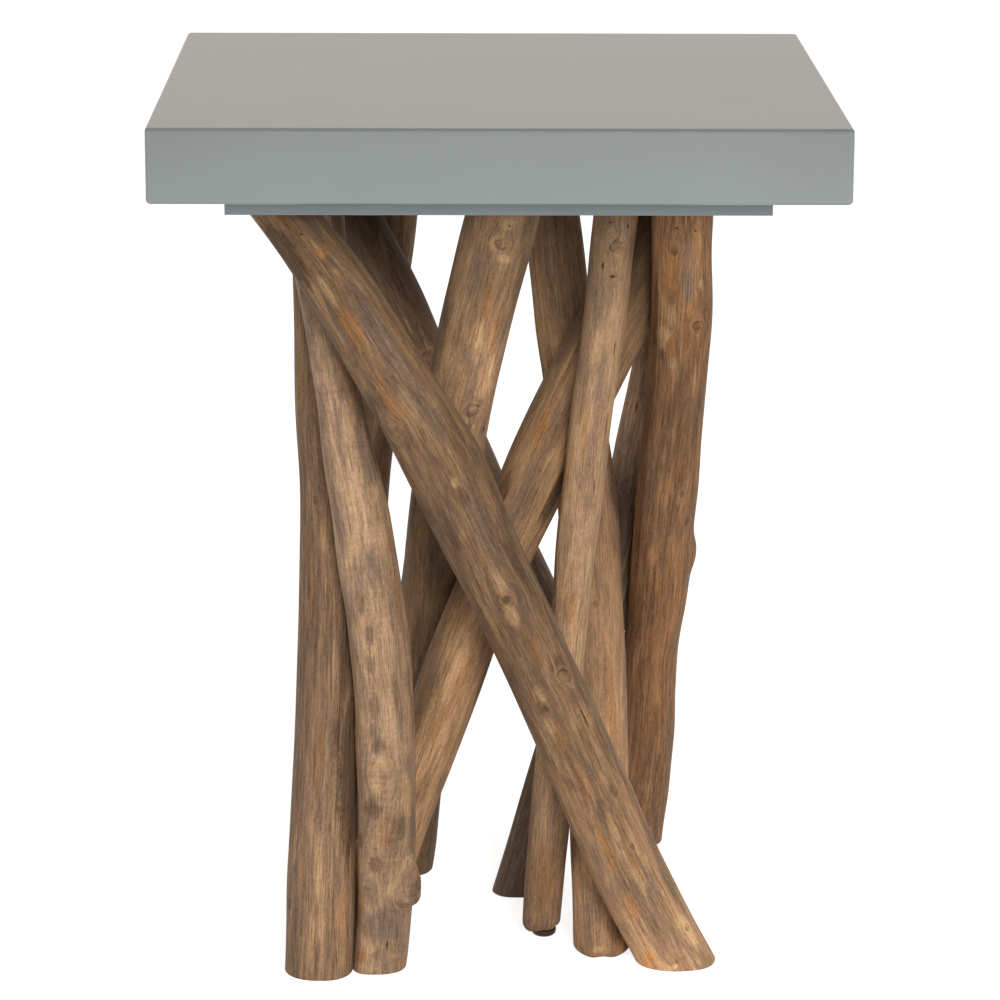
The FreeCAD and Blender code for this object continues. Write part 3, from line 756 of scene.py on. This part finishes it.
            "orange": ((240, 0, 4, 12, 0.8), (45, 0, 12, 34, 0.5), (150, 175, 5, 26, 0.6),
                (363, -13, 3, 20, 0.6)),
        },
    },
    "branch_rising_diagonal": {
        "line": ((-95, -119, 42), (-33, -78, 44), (43.5, -41, 47), (130, -8, 48)),
        "sway": ((0, -2, 3), (64, -1.8, 2), (120, 0, 0), (154, 0.5, -1), (200, -0.5, -1.2), (257, -1.5, -2),
            (295, -0.6, 0.6), (340, -0.6, 3.6), (370, 0.4, 4.8), (400, 1.4, 4.4), (440, 3, 3),
            (528, 3.4, 2)),
        "tones": ((167, 131, 97), (181, 143, 105), (136, 110, 91)),
        "paintedLightShade": ((0, 1.1), (66, 1.32), (110, 1.24), (154, 1), (205, 1.16), (250, 1.1), (300, 0.84),
            (340, 0.96), (380, 0.98), (400, 0.95), (422, 0.68), (445, 0.42), (470, 0.3), (528, 0.28)),
        "seed": 41, "streaky": 0.75, "twist": 0.3, "patchy": 0.9,
        "marks": {
            "ring": ((247, -66, 2.8, 3, 0.2), (300, 160, 6, 7, 0.5)),
            "pale": ((231, -11, 2, 6, 1), (193, -6, 3, 24, 0.7), (402, -44, 2.5, 18, 1),
                (150, 170, 7, 26, 0.6)),
            "orange": ((188, 15, 4, 26, 0.7), (358, -30, 5, 16, 0.8), (161, 3, 3, 18, 0.7)),
            # the dark marks at 60 mm on the left side and 183 mm on the right side are painted shade between
            # neighbours; both at 314 mm are painted shadow of the thin front and front diagonal branches
            "dark": ((174, -37, 9, 38, 0.6), (330, -5, 8, 40, 0.4), (60, -75, 10, 40, 1.4),
                (183, 65, 3.5, 22, 1), (114, 14, 4, 16, 0.6), (314, 39, 5, 26, 1.2), (314, -49, 6, 14, 1)),
            "grey": ((310, -14, 9, 34, 0.6),),
            "slit": ((121, -12, 1, 6, 0),),
        },
    },
    "branch_right_outer": {
        "line": ((108.5, 117, 38), (117, 18, 41), (124, -37, 43), (125.5, -60, 42)),
        "sway": ((0, -1.2, 2.4), (53, -1.2, 1.9), (82, -1.4, 1.6), (97, -1.1, 1.7), (118, -1.2, 1.6),
            (138, -2.6, 0.8), (158, -4, 0.5), (176, -5.3, -0.6), (196, -4.6, -0.6), (217, -3.2, -0.2),
            (250, -3.2, -0.1), (283, -3.4, -0.6), (300, -3.3, 0.2), (318, -3, 0.8), (335, -2.6, 0.5),
            (370, -0.5, -0.4), (390, 0.3, 0.4), (415, 1, 1.2), (438, 1.1, 1.2), (483, 0, -1.4),
            (505, 0.6, -0.7)),
        "tones": ((148, 110, 79), (161, 118, 82), (122, 95, 76)),
        "paintedLightShade": ((0, 0.86), (66, 1.05), (154, 1.02), (242, 0.95), (286, 0.98), (330, 0.88), (374, 0.74),
            (418, 0.74), (462, 1), (490, 1.36), (506, 1.46)),
        "seed": 46, "streaky": 1.3, "lumpy": 0.9, "twist": -0.2, "patchy": 0.75,
        "marks": {
            "smudge": ((486, -17, 4, 4, 0.2), (286, 42, 2, 4, 0)),
            "dot": ((500, -14, 1, 1.2, 0), (498, 21, 1, 1.2, 0)),
            "orange": ((468, -22, 4.5, 17, 0.8), (412, -18, 5, 10, 0.6), (200, 160, 7, 30, 0.6),
                (442, 13, 3, 6, 1), (419, -21, 3.5, 8, 1), (400, -47, 2.5, 8, 1), (256, 9, 3, 26, 0.5)),
            "grey": ((474, 11, 5, 18, 0.6), (318, -38, 5, 34, 0.6), (464, 7, 4.5, 17, 1),
                (376, 45, 3, 9, 0.9)),
            "ring": ((431, 27, 3.8, 4, 0.4), (380, 170, 6, 7, 0.5)),
            "dark": ((434, -59, 3.5, 9, 0.9), (421, -66, 2.5, 8, 1), (418, -58, 2, 3, 1.1),
                (411, -40, 3, 5, 0.9), (308, 26, 2, 3, 0.6), (356, -13, 6, 34, 0.4),
                (450, -61, 3.5, 16, 0.9), (285, -57, 4, 40, 0.6)),
            "pale": ((424, -34, 7, 6, 0.95), (417, -37, 2.5, 6, 0.9), (391, 28, 1.2, 14, 1.1),
                (460, 31, 2, 5, 0.8), (439, -23, 3.5, 10, 0.6), (404, -15, 4, 6, 0.7)),
            "swirl": ((257, 84, 7, 12, 3.4),),
        },
    },
    "branch_rear_slant": {
        "line": ((19.5, 3, 35), (68.5, 12, 34), (110, 32, 34), (138, 54, 36)),
        "sway": ((0, -2.8, 0.5), (40, -2.9, 0.8), (85, -3, 1.2), (110, -3.2, 1.6), (135, -1.6, 1.8),
            (160, 0.3, 1.7), (200, 1.6, 3), (250, 2.2, 3), (290, 0.4, 2), (320, -1.6, 2.2),
            (380, -1.8, 1.9), (420, -1, 1), (528, 0, 0)),
        "tones": ((138, 117, 98), (150, 126, 104), (112, 95, 83)),
        "paintedLightShade": ((0, 0.8), (66, 1), (150, 0.85), (220, 0.5), (270, 0.5), (305, 0.8), (322, 1.8),
            (345, 2.8), (380, 2.8), (420, 1.7), (528, 1)),
        "seed": 51, "twist": 0.2,
        "marks": {
            "slit": ((354, -30, 1, 6, 0),),
            "ring": ((260, 160, 5.5, 6, 0.5),),
            "pale": ((120, 170, 7, 24, 0.6),),
        },
    },
}

plugs = [solid.mean(0) for solid in solidsOf("cross_plugs", plugSeat["apart"], 3)]
for node, look in branches.items():
    look["foot"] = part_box(node)[0].z / mm
    look["top"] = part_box(node)[1].z / mm
    look["plugs"] = plugs
    growBranch(node, {**plainBranch, **look})
print("branches grown:", len(branches))


# lacquered top: one seamless box over the panels and rails

topLook = {
    "cornerRound": 4 * mm,
    "edgeRound": 2.6 * mm,
    "colour": paint(131, 138, 136),
    "shadeColour": paint(129, 136, 135),
    "roughness": 0.16,
    "paintedLightFall": 0.1,      # painted light: how much lighter the sides are at their foot than under the top
    "rim": 0.25,      # painted highlight on the lower edge
    "line": 0.2,      # painted shade: darker line along the upper edge
    "cornerHighlight": 0.18,   # painted highlight on the upright corners
    "ends": 0.05,     # painted shade: darker towards the ends of the sides
    # where each starts and stops: up from the lower edge, down from the upper edge or in from a corner
    "paintedLightFrom": 6 * mm,
    "rimHighlightHeight": 4 * mm,
    "sideBand": (2 * mm, 1.5 * mm),
    "edgeShadeStart": (1.9 * mm, 1.4 * mm),
    "edgeShadeEnd": (0.5 * mm, 0.2 * mm),
    "cornerHighlightBand": (3.8 * mm, 2.4 * mm),
    "endShadeBand": (95 * mm, 3 * mm),
}
topNodes = ("top_panel", "bottom_panel", "front_rail", "back_rail", "left_rail", "right_rail")


def topBox():
    corners = [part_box(node) for node in topNodes]
    low = Vector([min(pair[0][axis] for pair in corners) for axis in range(3)])
    high = Vector([max(pair[1][axis] for pair in corners) for axis in range(3)])
    return low, high


def lacquer():
    material, tree, shader = newMaterial("grey_lacquer")
    place = objectPlace(tree)
    mottle = noise(tree, place, (9, 9, 9), 1, 3, 0.5)
    peel = noise(tree, place, (260, 260, 260), 4, 2, 0.5)
    colour = blend(tree, fade(tree, mottle, 0.35, 0.65), topLook["colour"], topLook["shadeColour"])

    # painted light and shade: sides lighter towards the floor, with a painted dark line on the upper edge,
    # painted highlights on the lower edge and the corners, and painted shade towards the ends
    low, high = topBox()
    across, depth, level = (calc(tree, "ABSOLUTE", side) for side in split(tree, place))
    outer = calc(tree, "MINIMUM", across, depth)

    def band(value, edge, name, start=0.0, end=1.0):
        far, near = topLook[name]
        return fade(tree, value, edge - far, edge - near, start, end)

    side = band(level, high.z, "sideBand", 1.0, 0.0)
    line = times(tree, band(level, high.z, "edgeShadeStart"), band(level, high.z, "edgeShadeEnd", 1.0, 0.0))
    # painted light towards the floor, painted highlights on the lower edge and corners, painted shade towards
    # the ends
    gain = total(
        tree, fade(tree, level, low.z + topLook["paintedLightFrom"], high.z, topLook["paintedLightFall"], 0.0),
        fade(tree, level, low.z, low.z + topLook["rimHighlightHeight"], topLook["rim"], 0.0),
        band(outer, high.x, "cornerHighlightBand", 0.0, topLook["cornerHighlight"]),
        band(outer, high.x, "endShadeBand", 0.0, -topLook["ends"]),
    )
    gain = total(tree, 1.0, times(tree, gain, side), times(tree, line, -topLook["line"]))
    rough = total(tree, topLook["roughness"], centred(tree, mottle, 0.03))
    height = total(tree, centred(tree, peel, 0.2), mottle)
    finish(tree, shader, scaled(tree, colour, gain), rough, height, 0.03 * mm, 0.3)
    return material


def buildTop():
    low, high = topBox()
    bpy.ops.object.select_all(action="DESELECT")
    bpy.ops.mesh.primitive_cube_add(size=1, location=(low + high) / 2, scale=high - low)
    top = bpy.context.object
    top.name = top.data.name = "lacquered_top"
    bpy.ops.object.transform_apply(location=True, rotation=True, scale=True)
    pickOut("EDGE")
    bpy.ops.mesh.bevel(offset=topLook["cornerRound"], segments=5)
    bpy.ops.object.mode_set(mode="OBJECT")
    rounding = top.modifiers.new("edges", "BEVEL")
    rounding.width = topLook["edgeRound"]
    rounding.segments = 4
    rounding.limit_method = "ANGLE"
    rounding.angle_limit = math.radians(60)
    rounding.harden_normals = True
    bpy.ops.object.shade_smooth_by_angle(angle=math.radians(40))
    bpy.ops.object.modifier_apply(modifier="edges")
    top.data.materials.append(lacquer())
    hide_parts(*topNodes)
    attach(top, "root")


buildTop()
print("top built")


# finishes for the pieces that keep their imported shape

def platePaint():
    material, tree, shader = newMaterial("plate_paint")
    place = objectPlace(tree)
    mottle = noise(tree, place, (14, 14, 14), 2, 4, 0.6)
    brush = noise(tree, place, (24, 240, 240), 6, 3, 0.6)
    colour = blend(tree, mottle, paint(155, 165, 168), paint(144, 154, 158))
    rough = total(tree, 0.45, centred(tree, brush, 0.2))
    finish(tree, shader, colour, rough, brush, 0.08 * mm, 0.4)
    return material


def coreWood():
    material, tree, shader = newMaterial("core_wood")
    grain = noise(tree, objectPlace(tree), (180, 9, 180), 3, 4, 0.6, 0.4)
    colour = blend(tree, grain, paint(222, 194, 150), paint(190, 152, 106))
    finish(tree, shader, colour, 0.8, grain, 0.2 * mm, 0.5)
    return material


def plugWood():
    material, tree, shader = newMaterial("plug_wood")
    place = objectPlace(tree)
    pores = noise(tree, place, (1400, 1400, 1400), 3, 3, 0.6)
    rings = noise(tree, place, (300, 300, 300), 5, 3, 0.6, 1.5)
    colour = blend(tree, fade(tree, rings, 0.4, 0.6), paint(128, 100, 74), paint(143, 113, 84))
    colour = blend(tree, fade(tree, pores, 0.55, 0.7, 0.0, 0.35), colour, paint(74, 54, 40))
    finish(tree, shader, colour, 0.7, pores, 0.2 * mm, 0.6)
    return material


metals = {  # scale, detail and roughness of the marks, bright and dull colour, roughness
    "screw_steel": ((900, 900, 200), 3, 0.6, paint(200, 200, 196), paint(168, 168, 166), 0.32),
    "insert_brass": ((200, 200, 2600), 2, 0.5, paint(216, 178, 104), paint(186, 146, 78), 0.3),
}


def fittingMetal(name):
    scale, detail, rough, bright, dull, roughness = metals[name]
    material, tree, shader = newMaterial(name)
    marks = noise(tree, objectPlace(tree), scale, 2, detail, rough)
    shader.inputs["Metallic"].default_value = 1.0
    worn = total(tree, roughness, centred(tree, marks, 0.2))
    finish(tree, shader, blend(tree, marks, bright, dull), worn, marks, 0.04 * mm, 0.4)
    return material


def glidePlastic():
    material, tree, shader = newMaterial("glide_plastic")
    place = objectPlace(tree)
    grain = noise(tree, place, (1200, 1200, 1200), 2, 3, 0.6)
    scuff = noise(tree, place, (120, 120, 120), 7, 3, 0.6)
    colour = blend(tree, fade(tree, scuff, 0.45, 0.7), paint(52, 35, 27), paint(74, 54, 43))
    rough = total(tree, 0.5, centred(tree, scuff, 0.25))
    shader.inputs["Specular IOR Level"].default_value = 0.25
    finish(tree, shader, colour, rough, grain, 0.06 * mm, 0.5)
    return material


steel = fittingMetal("screw_steel")
rib = coreWood()


# branch screws: flat head, plain shank, ringed thread and a point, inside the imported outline

screwLook = {
    "around": 24,
    "point": 6 * mm,
    "tipRadius": 0.1 * mm,
    "shank": 10 * mm,
    "shankShare": 0.9,    # of the thread's radius
    "pitch": 2.2 * mm,
    "threadDepth": 0.5 * mm,
    "headEdge": 0.2 * mm,
    "headShare": 0.95,    # the head's radius at its trimmed edges
    "apart": 12 * mm,
}


def screwProfile(low, neck, high, shaft, head):  # level and radius from the point up
    profile = [(low, screwLook["tipRadius"])]
    level, ridge = low + screwLook["point"] / 2, True
    while level < neck - screwLook["shank"]:
        grown = min(1, (level - low) / screwLook["point"])
        profile.append((level, shaft * grown if ridge else shaft * grown - screwLook["threadDepth"]))
        level, ridge = level + screwLook["pitch"] / 2, not ridge
    shank, trimmed = shaft * screwLook["shankShare"], head * screwLook["headShare"]
    edge = screwLook["headEdge"]
    profile += [(level, shank), (neck, shank), (neck + edge, trimmed), (high - edge, head), (high, trimmed)]
    return profile


def buildScrews():
    made = []
    for own in solidsOf("branch_screws", screwLook["apart"], 2):
        low, high = own.min(0), own.max(0)
        middle = (low + high) / 2
        fromAxis = norm((own - middle)[:, :2], axis=1)
        head = fromAxis.max()
        neck = own[fromAxis > head * 0.9][:, 2].min()
        shaft = fromAxis[own[:, 2] < low[2] + mm].max()
        profile = screwProfile(low[2], neck, high[2], shaft, head)
        screw = ringedCylinder(screwLook["around"], [len(profile) - 1])
        for vertex in screw.data.vertices:
            level, wide = profile[round((vertex.co.z + 0.5) * (len(profile) - 1))]
            vertex.co = (middle[0] + vertex.co.x * wide, middle[1] + vertex.co.y * wide, level)
        made.append(screw)
    for screw in made:
        screw.select_set(True)
    bpy.ops.object.join()
    screws = bpy.context.object
    screws.name = screws.data.name = "turned_branch_screws"
    bpy.ops.object.shade_smooth_by_angle(angle=math.radians(40))
    screws.data.materials.append(steel)
    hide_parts("branch_screws")
    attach(screws, "root")
    return len(made)


print("screws turned:", buildScrews())

finishes = {
    "mounting_plate": platePaint(),
    "left_rib": rib,
    "right_rib": rib,
    "cross_plugs": plugWood(),
    "plate_screws": steel,
    "cross_screws": steel,
    "glide_stud": steel,
    "glide_insert": fittingMetal("insert_brass"),
    "glide": glidePlastic(),
}
for node, material in finishes.items():
    mesh = frame["nodes"][node].data
    mesh.materials.clear()
    mesh.materials.append(material)
print("finishes set on", len(finishes), "nodes")


# studio: white floor and surround, a soft key from the right and a weak fill

studio = {
    "floorSize": 14,
    "floorColour": (0.8, 0.8, 0.8, 1),
    "floorGlow": 0.8,
    "ambient": 0.32,
    "white": (1, 1, 1, 1),
    "reflected": (0.8, 0.735, 0.665, 1),
    "key": {
        "place": (1.1, -4.4, 2.3), "aim": (0, 0, 0.3), "size": (2, 2),
        "watts": 142, "colour": (1, 0.985, 0.96),
    },
    "fill": {
        "place": (-2.4, -2.0, 0.9), "aim": (0, 0, 0.3), "size": (1.6, 1.6),
        "watts": 8, "colour": (0.96, 0.98, 1),
    },
}


def seenDirectly(tree):  # 1 for what the camera, gloss or glass shows
    path = tree.nodes.new("ShaderNodeLightPath")
    seen = calc(tree, "MAXIMUM", path.outputs["Is Camera Ray"], path.outputs["Is Glossy Ray"])
    return calc(tree, "MAXIMUM", seen, path.outputs["Is Transmission Ray"])


def whiteFloor():
    material = bpy.data.materials.new("white_floor")
    material.use_nodes = True
    tree = material.node_tree
    tree.nodes.clear()
    diffuse = tree.nodes.new("ShaderNodeBsdfDiffuse")
    diffuse.inputs["Color"].default_value = studio["floorColour"]
    glow = tree.nodes.new("ShaderNodeEmission")
    tree.links.new(times(tree, seenDirectly(tree), studio["floorGlow"]), glow.inputs["Strength"])
    both = tree.nodes.new("ShaderNodeAddShader")
    output = tree.nodes.new("ShaderNodeOutputMaterial")
    tree.links.new(diffuse.outputs[0], both.inputs[0])
    tree.links.new(glow.outputs[0], both.inputs[1])
    tree.links.new(both.outputs[0], output.inputs["Surface"])
    return material


def areaLight(name, look):
    lamp = bpy.data.lights.new(name, "AREA")
    lamp.shape = "RECTANGLE"
    lamp.size, lamp.size_y = look["size"]
    lamp.energy = look["watts"]
    lamp.color = look["colour"]
    holder = bpy.data.objects.new(name, lamp)
    bpy.context.scene.collection.objects.link(holder)
    holder.location = look["place"]
    holder.visible_glossy = False  # no lamp mirrored in the lacquer
    holder.rotation_euler = (Vector(look["aim"]) - Vector(look["place"])).to_track_quat("-Z", "Y").to_euler()


bpy.ops.object.select_all(action="DESELECT")
bpy.ops.mesh.primitive_plane_add(size=studio["floorSize"])
floor = bpy.context.object
floor.name = "floor"
floor.data.materials.append(whiteFloor())
for name in ("key", "fill"):
    areaLight(name, studio[name])

world = bpy.data.worlds.new("white_surround")
bpy.context.scene.world = world
world.use_nodes = True
surround = world.node_tree
sky = surround.nodes["Background"]
glossy = surround.nodes.new("ShaderNodeLightPath").outputs["Is Glossy Ray"]
skyColour = blend(surround, glossy, studio["white"], studio["reflected"])
skyStrength = fade(surround, seenDirectly(surround), 0, 1, studio["ambient"], 1.0)
surround.links.new(skyColour, sky.inputs["Color"])
surround.links.new(skyStrength, sky.inputs["Strength"])

view = {
    "place": (-0.0335, -2.7974, 0.9994),
    "turn": -0.764,
    "tilt": 75.791,
    "roll": 0.228,
    "lens": 147.74,
    "sensor": 36,
}
camera = bpy.data.objects.new("photo_camera", bpy.data.cameras.new("photo_camera"))
bpy.context.scene.collection.objects.link(camera)
turn, tilt, roll = (math.radians(view[name]) for name in ("turn", "tilt", "roll"))
aim = Matrix.Rotation(turn, 4, "Z") @ Matrix.Rotation(tilt, 4, "X") @ Matrix.Rotation(roll, 4, "Z")
camera.matrix_world = Matrix.Translation(view["place"]) @ aim
camera.data.lens = view["lens"]
camera.data.sensor_width = view["sensor"]
bpy.context.scene.camera = camera
bpy.context.scene.view_settings.view_transform = "Standard"
print("studio and camera set")
